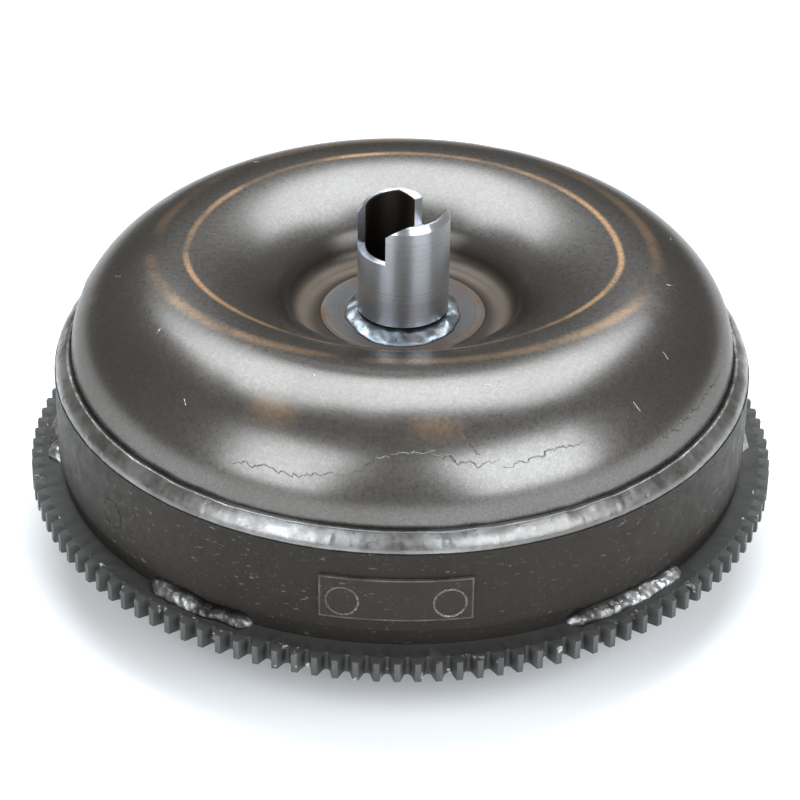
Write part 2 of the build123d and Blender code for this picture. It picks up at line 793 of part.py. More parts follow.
save("turbine_shell", turbine_shell())
save("turbine_blades", turbine_blades())
save("turbine_core_ring", core_ring(PARTING - 1.0, -1))
save("turbine_hub", turbine_hub())
save("turbine_rivets", around(rivet(), RIVETS))
save("damper_driven_plate", damper_driven_plate())
save("piston_seal", piston_seal())

save("spring_carrier", spring_carrier())
save("damper_springs", around(damper_spring(), SPRINGS))
save("lockup_piston", lockup_piston())
save("friction_lining", friction_lining())

save("stator_wheel", stator_wheel())
save("clutch_outer_race", clutch_outer_race())
save("clutch_rollers", clutch_rollers())
save("clutch_springs", clutch_springs())
save("clutch_front_plate", side_plate(RACE_LOW - TOUCH - SIDE_PLATE_FRONT, SIDE_PLATE_FRONT))
save("clutch_rear_plate", side_plate(RACE_HIGH + TOUCH, SIDE_PLATE_REAR))
save("stator_snap_ring", snap_ring())
save("stator_inner_race", stator_inner_race())

save("front_bearing_race", ring(*FRONT_BEARING, INSIDE_Z, INSIDE_Z + RACE))
cage, needles = thrust_bearing(INSIDE_Z + RACE, FRONT_BEARING, FRONT_NEEDLES)
save("front_bearing_cage", cage)
save("front_bearing_needles", needles)

save("middle_bearing_race", ring(*BEARING, HUB_FACE, HUB_FACE + RACE))
cage, needles = thrust_bearing(HUB_FACE + RACE, BEARING, NEEDLES)
save("middle_bearing_cage", cage)
save("middle_bearing_needles", needles)

save("rear_bearing_race", ring(*BEARING, FLOOR_UNDER - RACE, FLOOR_UNDER))
cage, needles = thrust_bearing(RACE_HIGH + TOUCH + SIDE_PLATE_REAR, BEARING, NEEDLES)
save("rear_bearing_cage", cage)
save("rear_bearing_needles", needles)
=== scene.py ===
import json
import math
import random

import bpy
from mathutils import Euler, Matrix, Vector, noise

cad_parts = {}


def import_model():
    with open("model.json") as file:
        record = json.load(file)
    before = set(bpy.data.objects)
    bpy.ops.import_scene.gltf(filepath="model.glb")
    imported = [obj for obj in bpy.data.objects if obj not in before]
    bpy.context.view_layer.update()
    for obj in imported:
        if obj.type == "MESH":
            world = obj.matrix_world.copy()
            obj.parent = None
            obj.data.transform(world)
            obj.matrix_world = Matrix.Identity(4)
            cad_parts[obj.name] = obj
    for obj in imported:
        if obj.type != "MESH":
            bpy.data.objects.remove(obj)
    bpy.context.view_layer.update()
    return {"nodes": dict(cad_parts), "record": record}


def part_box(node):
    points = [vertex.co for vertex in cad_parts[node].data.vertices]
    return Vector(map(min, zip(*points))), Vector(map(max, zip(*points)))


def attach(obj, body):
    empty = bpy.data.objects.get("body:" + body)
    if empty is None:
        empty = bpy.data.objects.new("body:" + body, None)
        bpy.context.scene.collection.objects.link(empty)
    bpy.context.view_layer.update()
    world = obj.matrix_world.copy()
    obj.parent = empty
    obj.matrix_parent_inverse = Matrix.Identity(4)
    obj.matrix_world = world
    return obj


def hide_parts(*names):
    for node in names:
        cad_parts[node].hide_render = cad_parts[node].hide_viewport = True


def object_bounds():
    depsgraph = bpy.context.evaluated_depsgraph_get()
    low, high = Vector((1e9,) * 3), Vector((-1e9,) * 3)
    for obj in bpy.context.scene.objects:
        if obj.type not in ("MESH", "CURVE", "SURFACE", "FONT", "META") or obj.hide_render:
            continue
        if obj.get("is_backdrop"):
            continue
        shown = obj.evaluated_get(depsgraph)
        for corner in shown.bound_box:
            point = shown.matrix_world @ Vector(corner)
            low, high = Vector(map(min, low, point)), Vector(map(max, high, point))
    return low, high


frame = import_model()
NODES = frame["nodes"]
BODY = "housing"
MM = 0.001


# ---------------------------------------------------------------- places from the frame
def top(node):
    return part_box(node)[1][2]


def bottom(node):
    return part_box(node)[0][2]


def radius(node):
    """Half the wider side of a node centred on the axis."""
    low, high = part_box(node)
    return max(high[0] - low[0], high[1] - low[1]) / 2


DRUM_R = radius("front_cover")
RIM_Z = top("front_cover")
BAND_TOP = top("closure_weld")
RING_TOP = top("ring_gear")
RING_R = radius("ring_gear")
FLOOR_Z = bottom("hub_weld")
NECK_R = 17.9 * MM
REGISTER_R = DRUM_R - 1.25 * MM
WALL_R = DRUM_R - 7.3 * MM
CREST_Z = top("impeller_shell")
RING_WELD_CENTRES = (-123, -51, 8, 65, 120, 178)
RING_WELD_SPANS = (20, 24, 21, 20, 22, 21)


# ---------------------------------------------------------------- node helpers
class Nodes:
    """A small builder for a material's node tree."""

    def __init__(self, name):
        self.material = bpy.data.materials.new(name)
        self.material.use_nodes = True
        self.tree = self.material.node_tree
        self.shader = self.tree.nodes["Principled BSDF"]
        self.coords = self.tree.nodes.new("ShaderNodeTexCoord").outputs["Object"]

    def link(self, source, target):
        self.tree.links.new(source, target)

    def scaled(self, x, y, z):
        """Object coordinates stretched along each axis."""
        node = self.tree.nodes.new("ShaderNodeMapping")
        node.inputs["Scale"].default_value = (x, y, z)
        self.link(self.coords, node.inputs["Vector"])
        return node.outputs["Vector"]

    def noise(self, scale, detail=4.0, rough=0.55, distortion=0.0, vector=None):
        node = self.tree.nodes.new("ShaderNodeTexNoise")
        node.inputs["Scale"].default_value = scale
        node.inputs["Detail"].default_value = detail
        node.inputs["Roughness"].default_value = rough
        node.inputs["Distortion"].default_value = distortion
        self.link(vector or self.coords, node.inputs["Vector"])
        return node.outputs["Fac"]

    def ramp(self, value, *stops):
        """Maps a value to (place, grey or colour) stops."""
        node = self.tree.nodes.new("ShaderNodeValToRGB")
        elements = node.color_ramp.elements
        while len(elements) < len(stops):
            elements.new(0.5)
        for element, (place, colour) in zip(elements, stops):
            element.position = place
            shade = colour if isinstance(colour, tuple) else (colour, colour, colour)
            element.color = (*shade, 1.0)
        self.link(value, node.inputs["Fac"])
        return node.outputs["Color"]

    def mix(self, fac, first, second, mode="MIX"):
        node = self.tree.nodes.new("ShaderNodeMix")
        node.data_type = "RGBA"
        node.blend_type = mode
        for value, slot in ((fac, 0), (first, 6), (second, 7)):
            if isinstance(value, tuple):
                node.inputs[slot].default_value = (*value, 1.0)
            elif isinstance(value, float):
                node.inputs[slot].default_value = value
            else:
                self.link(value, node.inputs[slot])
        return node.outputs[2]

    def math(self, mode, first, second=0.0):
        node = self.tree.nodes.new("ShaderNodeMath")
        node.operation = mode
        for value, slot in ((first, 0), (second, 1)):
            if isinstance(value, float):
                node.inputs[slot].default_value = value
            else:
                self.link(value, node.inputs[slot])
        return node.outputs[0]

    def axial(self):
        """(distance from the axis, height), both in millimetres, and the angle in turns."""
        split = self.tree.nodes.new("ShaderNodeSeparateXYZ")
        self.link(self.coords, split.inputs[0])
        x, y, z = split.outputs
        square = self.math("ADD", self.math("MULTIPLY", x, x), self.math("MULTIPLY", y, y))
        r = self.math("MULTIPLY", self.math("SQRT", square), 1000.0)
        turn = self.math("DIVIDE", self.math("ARCTAN2", y, x), 2 * math.pi)
        return r, self.math("MULTIPLY", z, 1000.0), turn

    def turned(self, r_scale, z_scale, turn_scale):
        """Coordinates that follow the lathe: radius, height and angle, each scaled."""
        r, z, turn = self.axial()
        join = self.tree.nodes.new("ShaderNodeCombineXYZ")
        self.link(self.math("MULTIPLY", r, r_scale), join.inputs[0])
        self.link(self.math("MULTIPLY", z, z_scale), join.inputs[1])
        self.link(self.math("MULTIPLY", turn, turn_scale), join.inputs[2])
        return join.outputs[0]

    def bump(self, height, strength, distance):
        node = self.tree.nodes.new("ShaderNodeBump")
        node.inputs["Strength"].default_value = strength
        node.inputs["Distance"].default_value = distance
        self.link(height, node.inputs["Height"])
        previous = self.shader.inputs["Normal"]
        if previous.is_linked:
            self.link(previous.links[0].from_socket, node.inputs["Normal"])
        self.link(node.outputs["Normal"], previous)

    def finish(self, colour, rough, metallic, coat=0.0, coat_rough=0.2):
        for value, name in ((colour, "Base Color"), (rough, "Roughness"), (metallic, "Metallic")):
            if isinstance(value, float):
                self.shader.inputs[name].default_value = value
            else:
                self.link(value, self.shader.inputs[name])
        self.shader.inputs["Coat Weight"].default_value = coat
        self.shader.inputs["Coat Roughness"].default_value = coat_rough
        return self.material


# ---------------------------------------------------------------- materials
def band(n, value, middle, half, soft):
    """1 where value lies within half of middle, falling to 0 over soft."""
    away = n.math("ABSOLUTE", n.math("SUBTRACT", value, middle))
    return n.math("MINIMUM", 1.0, n.math("MAXIMUM", 0.0,
                  n.math("DIVIDE", n.math("SUBTRACT", half + soft, away), soft)))


PAINTED_HIGHLIGHT_TONE = (0.70, 0.44, 0.25)
HIGHLIGHT_LINE_RADIUS = 90.0                    # painted highlight line on the crest at the sides, mm
HIGHLIGHT_PULL = 23.5                      # how far it moves inwards at the front, mm
HIGHLIGHT_SPACING = 15.0                   # from that line to the fainter one outside it, mm
HIGHLIGHT_SPOTS = (-0.3186, -0.2320)       # painted highlight spots at the front, in turns from +X
HIGHLIGHT_SPOT_RADIUS = 119.0
FLANGE_EDGE = 36.0                   # middle of the dull rusty zone in the dish, mm


def dome_material():
    """Brown-grey satin lacquer over pressed steel, with a painted copper highlight near the crest."""
    n = Nodes("lacquered_dome")
    cloud = n.noise(9.0, 5.0, 0.6)
    speckle = n.noise(900.0, 3.0, 0.7)
    base = n.mix(n.ramp(cloud, (0.35, 0.0), (0.65, 1.0)), (0.114, 0.108, 0.100), (0.152, 0.147, 0.140))
    base = n.mix(n.ramp(speckle, (0.42, 0.40), (0.6, 0.0)), base, (0.080, 0.070, 0.060))
    r, z, turn = n.axial()
    # Painted highlight: a copper line along the crest that moves inwards towards the front, a fainter line
    # outside it, flecks and two spots at the front.
    patch = n.ramp(n.noise(1.0, 3.0, 0.6, vector=n.turned(0.02, 0.0, 9.0)), (0.42, 0.0), (0.56, 1.0))
    split = n.tree.nodes.new("ShaderNodeSeparateXYZ")
    n.link(n.coords, split.inputs[0])
    forward = n.math("MULTIPLY", split.outputs[1], -1000.0)
    near = n.math("MAXIMUM", 0.0, n.math("DIVIDE", forward, r))
    pulled_in = n.math("MULTIPLY", n.math("POWER", near, 1.5), HIGHLIGHT_PULL)
    path = n.math("SUBTRACT", HIGHLIGHT_LINE_RADIUS, pulled_in)
    offset = n.math("SUBTRACT", r, path)
    broken = n.math("ADD", 0.22, n.math("MULTIPLY", patch, 0.7))
    inner = n.math("MULTIPLY", band(n, offset, 0.0, 0.5, 1.3), broken)
    faint = n.math("MULTIPLY", patch, 0.35)
    outer = n.math("MULTIPLY", band(n, offset, HIGHLIGHT_SPACING, 0.8, 3.0), faint)
    painted_highlight = n.math("MAXIMUM", inner, outer)
    spots = n.ramp(n.noise(26.0, 2.0, 0.5), (0.68, 0.0), (0.80, 0.35))
    painted_highlight = n.math("MAXIMUM", painted_highlight, spots)
    for place in HIGHLIGHT_SPOTS:
        across = band(n, turn, place, 0.004, 0.014)
        highlight_spot = n.math("MULTIPLY", across, band(n, r, HIGHLIGHT_SPOT_RADIUS, 1.0, 5.0))
        painted_highlight = n.math("MAXIMUM", painted_highlight, n.math("MULTIPLY", highlight_spot, 0.22))
    # the painted copper highlight is mixed into the lacquer colour here
    base = n.mix(painted_highlight, base, PAINTED_HIGHLIGHT_TONE)
    floor = band(n, r, FLANGE_EDGE, 8.0, 9.0)
    rust = n.mix(n.noise(60.0, 5.0, 0.7), (0.125, 0.112, 0.10), (0.095, 0.068, 0.048))
    base = n.mix(floor, base, rust)
    rough = n.ramp(n.noise(420.0, 4.0, 0.7), (0.3, 0.24), (0.7, 0.33))
    rough = n.mix(floor, rough, (0.58, 0.58, 0.58))
    n.bump(n.noise(1300.0, 3.0, 0.8), 0.16, 0.00010)
    n.bump(n.noise(30.0, 2.0, 0.5), 0.05, 0.0008)
    scratch = n.noise(1.0, 3.0, 0.6, vector=n.scaled(60.0, 900.0, 300.0))
    n.bump(n.ramp(scratch, (0.68, 0.0), (0.72, 1.0)), 0.08, 0.0001)
    n.shader.inputs["Specular Tint"].default_value = (0.30, 0.29, 0.28, 1.0)
    n.finish(base, rough, 0.9, 0.0, 0.24)
    glossy = n.math("SUBTRACT", 1.0, floor)
    n.link(n.math("MULTIPLY", 0.45, glossy), n.shader.inputs["Coat Weight"])
    return n.material


def drum_material(name, dark, light, edges=None):
    """Dark satin coating with scratches and specks, lighter along the faces of an edges box as painted edge
    highlight and wear.
    """
    n = Nodes(name)
    base = n.mix(n.noise(14.0, 5.0, 0.6), dark, light)
    speck = n.ramp(n.noise(560.0, 3.0, 0.75), (0.62, 0.0), (0.70, 0.30))
    base = n.mix(speck, base, (0.15, 0.135, 0.12))
    scratch = n.noise(1.0, 4.0, 0.65, vector=n.scaled(260.0, 160.0, 620.0))
    lines = n.ramp(scratch, (0.62, 0.0), (0.68, 1.0))
    thin = n.ramp(n.noise(45.0, 3.0, 0.6), (0.44, 0.0), (0.56, 1.0))
    mark = n.math("MULTIPLY", lines, thin)
    base = n.mix(n.math("MULTIPLY", mark, 0.4), base, (0.24, 0.225, 0.21))
    # Painted edge highlight mixed with wear: a lighter band along the box's edges, broken up by noise.
    if edges:
        low, high = edges
        split = n.tree.nodes.new("ShaderNodeSeparateXYZ")
        n.link(n.coords, split.inputs[0])
        rim = 0.0
        for axis in (0, 2):
            for limit in (low[axis], high[axis]):
                here = n.math("MULTIPLY", split.outputs[axis], 1000.0)
                away = n.math("SUBTRACT", here, limit / MM)
                rim = n.math("MAXIMUM", rim, band(n, away, 0.0, 0.35, 0.5))
        edge_wear_and_highlight = n.ramp(n.noise(90.0, 3.0, 0.7), (0.35, 0.25), (0.6, 0.9))
        base = n.mix(n.math("MULTIPLY", rim, edge_wear_and_highlight), base, (0.12, 0.115, 0.108))
    rough = n.ramp(n.noise(160.0, 4.0, 0.7), (0.3, 0.42), (0.7, 0.60))
    n.bump(n.noise(900.0, 3.0, 0.8), 0.25, 0.00012)
    n.bump(n.noise(50.0, 3.0, 0.6), 0.20, 0.0006)
    n.bump(mark, 0.3, 0.0002)
    n.shader.inputs["Specular IOR Level"].default_value = 0.2
    return n.finish(base, rough, 0.55)


def weld_material(name, dark, light, tint, metallic=0.85, grain=0.3):
    """Bare weld metal: bright ridges, dark oxide in the hollows, some heat tint."""
    n = Nodes(name)
    patch = n.ramp(n.noise(22.0, 4.0, 0.65), (0.40, 0.0), (0.62, 1.0))
    base = n.mix(patch, dark, light)
    base = n.mix(n.ramp(n.noise(75.0, 4.0, 0.7), (0.55, 0.0), (0.68, 0.8)), base, tint)
    pits = n.ramp(n.noise(520.0, 3.0, 0.7), (0.30, 1.0), (0.40, 0.0))
    base = n.mix(n.math("MULTIPLY", pits, 0.4), base, (0.04, 0.036, 0.03))
    rough = n.ramp(n.noise(230.0, 3.0, 0.7), (0.3, 0.22), (0.7, 0.46))
    n.bump(n.noise(330.0, 4.0, 0.7), grain, 0.0003)
    n.bump(n.noise(95.0, 3.0, 0.6), grain, 0.0008)
    return n.finish(base, rough, metallic)


def ground_material():
    """Ground hub journal: fine lines around the axis, a duller worn band at its foot, and painted shade in
    the bore and the undercut neck.
    """
    n = Nodes("ground_hub")
    lines = n.noise(1.0, 6.0, 0.75, vector=n.turned(0.4, 14.0, 1.2))
    base = n.mix(lines, (0.46, 0.485, 0.52), (0.66, 0.69, 0.73))
    r, z, turn = n.axial()
    # Painted shade: the bore inside 16 mm and the undercut neck just above the weld are coloured near-black
    # and made rough.
    inside = n.math("LESS_THAN", r, 16.0)
    low = n.math("LESS_THAN", z, FLOOR_Z / MM + 3.05)
    neck = n.math("MULTIPLY", low, n.math("LESS_THAN", r, 18.6))
    painted_shade = n.math("MAXIMUM", inside, neck)
    foot = n.math("LESS_THAN", z, FLOOR_Z / MM + 14.5)
    base = n.mix(n.math("MULTIPLY", foot, 0.18), base, (0.38, 0.38, 0.40))
    base = n.mix(painted_shade, base, (0.020, 0.016, 0.013))
    rough = n.mix(painted_shade, n.ramp(lines, (0.3, 0.24), (0.7, 0.34)), (0.6, 0.6, 0.6))
    n.bump(lines, 0.12, 0.00008)
    n.bump(n.noise(500.0, 3.0, 0.7), 0.06, 0.0001)
    n.shader.inputs["Anisotropic"].default_value = 0.88
    n.shader.inputs["Anisotropic Rotation"].default_value = 0.25
    tangent = n.tree.nodes.new("ShaderNodeTangent")
    tangent.direction_type = "RADIAL"
    tangent.axis = "Z"
    n.link(tangent.outputs[0], n.shader.inputs["Tangent"])
    return n.finish(base, rough, 1.0)


def flange_material():
    """Turned flange in the dish: rings, brown heat tint and rust."""
    n = Nodes("hub_flange_metal")
    rings = n.noise(1.0, 4.0, 0.75, vector=n.turned(1.1, 0.0, 0.9))
    base = n.mix(n.ramp(rings, (0.35, 0.0), (0.65, 1.0)), (0.045, 0.040, 0.035), (0.155, 0.145, 0.134))
    tint = n.ramp(n.noise(55.0, 4.0, 0.65), (0.40, 0.0), (0.62, 0.85))
    base = n.mix(tint, base, (0.115, 0.064, 0.036))
    blue = band(n, n.axial()[0], 27.5, 1.5, 3.0)
    base = n.mix(n.math("MULTIPLY", blue, 0.6), base, (0.075, 0.083, 0.092))
    edge = band(n, n.axial()[0], 34.6, 0.25, 0.3)
    base = n.mix(n.math("MULTIPLY", edge, 0.85), base, (0.012, 0.010, 0.009))
    rough = n.ramp(n.noise(180.0, 3.0, 0.6), (0.3, 0.42), (0.7, 0.60))
    n.bump(rings, 0.35, 0.0003)
    n.bump(n.noise(600.0, 3.0, 0.7), 0.2, 0.0001)
    return n.finish(base, rough, 0.85)


def gear_material():
    """Dark cast-looking ring gear with silver chips on the teeth."""
    n = Nodes("ring_gear_steel")
    base = n.mix(n.noise(30.0, 5.0, 0.65), (0.034, 0.0335, 0.0325), (0.066, 0.065, 0.063))
    r, z, turn = n.axial()
    tips = n.math("GREATER_THAN", r, RING_R / MM - 5.5)
    chip = n.ramp(n.noise(140.0, 3.0, 0.7), (0.63, 0.0), (0.67, 1.0))
    base = n.mix(n.math("MULTIPLY", chip, tips), base, (0.46, 0.45, 0.43))
    geometry = n.tree.nodes.new("ShaderNodeNewGeometry")
    edge = n.ramp(geometry.outputs["Pointiness"], (0.54, 0.0), (0.64, 0.5))
    base = n.mix(edge, base, (0.16, 0.155, 0.15))
    rough = n.ramp(n.noise(260.0, 3.0, 0.7), (0.3, 0.40), (0.7, 0.62))
    n.bump(n.noise(420.0, 4.0, 0.75), 0.35, 0.00025)
    return n.finish(base, rough, 0.6)


def plain_metal(name, dark, light, rough=(0.28, 0.42), metallic=1.0):
    """Machined or pressed metal for the inner pieces: fine grain, mild stains."""
    n = Nodes(name)
    base = n.mix(n.noise(45.0, 4.0, 0.6), dark, light)
    stain = n.ramp(n.noise(120.0, 3.0, 0.6), (0.58, 0.0), (0.72, 0.4))
    base = n.mix(stain, base, tuple(0.5 * shade for shade in dark))
    n.bump(n.noise(1.0, 3.0, 0.6, vector=n.turned(2.5, 2.5, 2.0)), 0.12, 0.0001)
    n.bump(n.noise(700.0, 3.0, 0.7), 0.1, 0.0001)
    return n.finish(base, n.ramp(n.noise(210.0), (0.3, rough[0]), (0.7, rough[1])), metallic)


def paper_material():
    """Brown paper friction lining with pressed fibres."""
    n = Nodes("friction_paper")
    base = n.mix(n.noise(500.0, 5.0, 0.8), (0.16, 0.10, 0.055), (0.33, 0.23, 0.14))
    n.bump(n.noise(900.0, 4.0, 0.8), 0.5, 0.0002)
    return n.finish(base, n.ramp(n.noise(90.0), (0.3, 0.8), (0.7, 0.95)), 0.0)


def wear(obj, material):
    obj.data.materials.clear()
    obj.data.materials.append(material)


# ---------------------------------------------------------------- mesh helpers
def lathe(name, profile, start, end, steps, shift):
    """Sweeps a closed (r, z) profile about the axis, moving each point by shift(r, z, angle, i)."""
    full = abs(end - start) > 359.9
    count = steps if full else steps + 1
    verts = []
    for k in range(count):
        angle = math.radians(start + (end - start) * k / steps)
        for i, (r, z) in enumerate(profile):
            share = k / steps
            r2, z2 = shift(r, z, angle, share, i)
            verts.append((r2 * math.cos(angle), r2 * math.sin(angle), z2))
    size = len(profile)
    faces = []
    for k in range(steps):
        a = k * size
        b = ((k + 1) % count) * size
        for i in range(size):
            j = (i + 1) % size
            faces.append((a + i, b + i, b + j, a + j))
    if not full:
        faces.append(tuple(range(size)))
        faces.append(tuple(reversed(range(steps * size, (steps + 1) * size))))
    return mesh_object(name, verts, faces)


def mesh_object(name, verts, faces):
    mesh = bpy.data.meshes.new(name)
    mesh.from_pydata(verts, [], faces)
    mesh.validate()
    mesh.update()
    obj = bpy.data.objects.new(name, mesh)
    bpy.context.scene.collection.objects.link(obj)
    bpy.context.view_layer.objects.active = obj
    obj.select_set(True)
    bpy.ops.object.mode_set(mode="EDIT")
    bpy.ops.mesh.select_all(action="SELECT")
    bpy.ops.mesh.normals_make_consistent(inside=False)
    bpy.ops.object.mode_set(mode="OBJECT")
    obj.select_set(False)
    for face in mesh.polygons:
        face.use_smooth = True
    return obj


def lump(r, z, angle, scale, seed):
    """Signed smooth noise at a place on the object, about -1 to 1."""
    place = Vector((r * math.cos(angle), r * math.sin(angle), z)) * scale
    return noise.fractal(place + Vector((seed, 2.7 * seed, -seed)), 0.9, 2.1, 3)


# ---------------------------------------------------------------- welds
def closure_band():
    """Lumpy weld band between drum and dome, with a ragged upper lip and a dark crease above."""
    low, high = RIM_Z, BAND_TOP
    rise = high - low
    outer = DRUM_R
    face = []
    across = 15
    for i in range(across + 1):
        t = i / across
        bulge = math.sin(math.pi * t) * 0.9 * MM
        face.append((outer - 0.25 * MM - 4.6 * MM * t ** 1.35 + bulge * 0.7, low + rise * t))
    back = [(WALL_R + 0.1 * MM, high - 0.3 * MM), (WALL_R + 0.1 * MM, low + 3.0 * MM),
            (WALL_R + 3.4 * MM, low + 0.05 * MM)]

    def shift(r, z, angle, share, i):
        if i > across:
            return r, z
        t = i / across
        middle = math.sin(math.pi * min(1.0, 0.15 + 0.85 * t))
        ripple = lump(outer, z, angle, 45.0, 3.1) * 0.26 * MM
        fine = lump(outer, z, angle, 210.0, 8.2) * 0.07 * MM
        ragged = lump(outer, 0.0, angle, 90.0, 5.5) * 0.50 * MM
        step = 0.3 * MM if lump(outer, 0.0, angle, 24.0, 1.7) > 0.1 else 0.0
        edge = t ** 3
        return (r + (ripple + fine) * middle - 0.2 * MM + step * middle * 0.6,
                min(z + ragged * edge - 0.3 * MM * edge, high))

    return lathe("closure_weld_band", face + back, 0.0, 360.0, 1080, shift)


def ring_bead(number, centre, span, seed):
    """One lumpy fillet on the ring gear, tapered at its ends, with overlapping ripples."""
    height = 5.2 * MM
    width = 6.6 * MM
    arc = 11
    profile = []
    for i in range(arc + 1):
        t = i / arc * math.pi / 2
        profile.append((REGISTER_R + width * math.cos(t) ** 0.9, RING_TOP + height * math.sin(t) ** 0.9))
    profile.append((REGISTER_R, RING_TOP))

    def shift(r, z, angle, share, i):
        end = min(1.0, 12.0 * share, 12.0 * (1.0 - share)) ** 0.5
        ripple = 0.10 * MM * math.sin(math.degrees(angle) * 4.1 + 6.0 * (z - RING_TOP) / height)
        size = end * (0.80 + 0.20 * lump(r, z, angle, 55.0, seed)) + 0.02
        out = r - REGISTER_R
        up = z - RING_TOP
        if out <= 0.0 and up <= 0.0:
            return r, z
        rough = 0.45 * MM * lump(r, z, angle, 130.0, seed + 4.0)
        return (REGISTER_R + max(0.0, out * size + (ripple * 0.5 + rough) * min(1.0, out / width * 3)),
                RING_TOP + max(0.0, up * size + (ripple * 0.5 + rough) * min(1.0, up / height * 3)))

    return lathe(f"ring_weld_{number}", profile, centre - span / 2, centre + span / 2, 220, shift)


def hub_bead():
    """Weld round the hub's neck: overlapping lumps with a larger stop blob on the right."""
    width = 8.9 * MM
    height = 1.75 * MM
    arc = 14
    profile = []
    for i in range(arc + 1):
        t = i / arc
        profile.append((NECK_R + width * (1 - t), FLOOR_Z + height * math.sin(math.pi / 2 * t ** 0.7)))
    profile.append((NECK_R, FLOOR_Z))

    def shift(r, z, angle, share, i):
        up = z - FLOOR_Z
        if i == len(profile) - 1:
            return r, z
        t = i / arc
        wave = 0.12 * MM * math.sin(17.0 * angle + 5.0 * t)
        rough = 0.28 * MM * lump(r, z, angle, 110.0, 6.6)
        away = (angle - math.radians(325.0) + math.pi) % (2 * math.pi) - math.pi
        blob = math.exp(-(away / 0.13) ** 2 - ((t - 0.5) / 0.33) ** 2) * 1.5 * MM
        edge = 1.0 * MM * lump(NECK_R, 0.0, angle, 120.0, 2.2) * (1 - t)
        keep = min(1.0, 6.0 * t)
        spread = 0.72 + 0.50 * max(0.0, -math.sin(angle)) ** 2
        return (NECK_R + (r - NECK_R) * spread + edge * min(1.0, (1 - t) * 2),
                FLOOR_Z + max(0.0, up + (wave + rough) * keep + blob))

    return lathe("hub_weld_bead", profile, 0.0, 360.0, 420, shift)


def spot_ring(number, angle_deg, height, r_out, r_in, gap_seed):
    """Raised broken ring left by a spot weld or a press mark on the drum or the weight."""
    side = radius_at(angle_deg)
    steps = 96
    section = 8
    verts = []
    faces = []
    middle = (r_out + r_in) / 2
    half = (r_out - r_in) / 2
    for k in range(steps):
        a = 2 * math.pi * k / steps
        swell = 0.08 + 0.92 * max(0.0, min(1.0, 0.5 + 1.8 * lump(middle, gap_seed, a, 700.0, gap_seed)))
        for i in range(section):
            b = 2 * math.pi * i / section
            q = middle + half * math.cos(b) * (0.7 + 0.3 * swell)
            out = half * 0.75 * math.sin(b) * swell
            along = q * math.cos(a)
            up = q * math.sin(a)
            theta = math.radians(angle_deg) + along / side
            verts.append(((side + out) * math.cos(theta), (side + out) * math.sin(theta), height + up))
    for k in range(steps):
        for i in range(section):
            j = (i + 1) % section
            n = (k + 1) % steps
            faces.append((k * section + i, n * section + i, n * section + j, k * section + j))
    return mesh_object(f"spot_ring_{number}", verts, faces)


def radius_at(angle_deg):
    """Outer radius of the drum, or of the balance weight where it covers the drum."""
    on_weight = any(abs(angle_deg - spot) < 0.1 for spot in WEIGHT_SPOTS)
    return DRUM_R + (1.2 * MM if on_weight else 0.0)


def spot_places():
    """Angles and height of the weight's two spot welds, from their node's box."""
    low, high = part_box("balance_spot_welds")
    reach = DRUM_R + 1.2 * MM
    left = math.degrees(math.acos(max(-1.0, (low[0] + 6.9 * MM) / reach)))
    right = math.degrees(math.acos(min(1.0, (high[0] - 6.9 * MM) / reach)))
    return (-left, -right), (low[2] + high[2]) / 2


WEIGHT_SPOTS, SPOT_HEIGHT = spot_places()


# ---------------------------------------------------------------- dome
CREST_R = 92.5 * MM
SHELL = 3.0 * MM


def arc_points(centre, size, first, last, count):
    """Points of an arc, angles in degrees."""
    points = []
    for k in range(count):
        angle = math.radians(first + (last - first) * k / (count - 1))
        points.append((centre[0] + size * math.cos(angle), centre[1] + size * math.sin(angle)))
    return points


def dome_arcs():
    """The dome's outer arcs: wall, shoulder, dish, turn and the fillet to the floor."""
    small = 34.5 * MM
    width = WALL_R - CREST_R
    drop = CREST_Z - BAND_TOP
    large = ((width - small) ** 2 + drop ** 2 - small ** 2) / (2 * (drop - small))
    low = (WALL_R - small, BAND_TOP)
    high = (CREST_R, CREST_Z - large)
    join = math.degrees(math.atan2(low[1] - high[1], low[0] - high[0]))
    dish, turn, fillet, slope = 64.0 * MM, 16.0 * MM, 6.0 * MM, 38.0
    dish_centre = (CREST_R, CREST_Z - dish)
    turn_centre = arc_points(dish_centre, dish - turn, 90 + slope, 90 + slope, 2)[0]
    lean = math.degrees(math.asin((FLOOR_Z + fillet - turn_centre[1]) / (turn + fillet)))
    foot = arc_points(turn_centre, turn + fillet, 180 - lean, 180 - lean, 2)[0]
    return [(low, small, 0, join, 26), (high, large, join, 90, 34), (dish_centre, dish, 90, 90 + slope, 34),
            (turn_centre, turn, 90 + slope, 180 - lean, 18)], (foot, fillet, -lean, -90, 10)


def without_repeats(points):
    """The same points, less any that repeats the one before it."""
    kept = [points[0]]
    for point in points[1:]:
        if math.dist(point, kept[-1]) > 0.01 * MM:
            kept.append(point)
    return kept


def dome_profile():
    """Outer points from lip to flange, then the inner points back."""
    arcs, foot = dome_arcs()
    lip = DRUM_R - 3.85 * MM
    jog = BAND_TOP - 3.8 * MM
    low = bottom("impeller_shell")
    outer = [(lip, low), (lip, RIM_Z), (WALL_R, jog)]
    for centre, size, first, last, count in arcs:
        outer.extend(arc_points(centre, size, first, last, count))
    outer.extend(arc_points(*foot))
    flange = radius("hub_flange") + 0.05 * MM
    outer.append((flange, FLOOR_Z))
    inner = [(flange, FLOOR_Z - SHELL)]
    inner.extend(arc_points(foot[0], foot[1] + SHELL, -90, foot[2], 5))
    for centre, size, first, last, count in reversed(arcs):
        inner.extend(arc_points(centre, size - SHELL, last, first, 9))
    inner.extend([(WALL_R - SHELL, jog - 1.5 * MM), (lip - SHELL, RIM_Z - 1.5 * MM), (lip - SHELL, low)])
    return without_repeats(outer), without_repeats(inner)


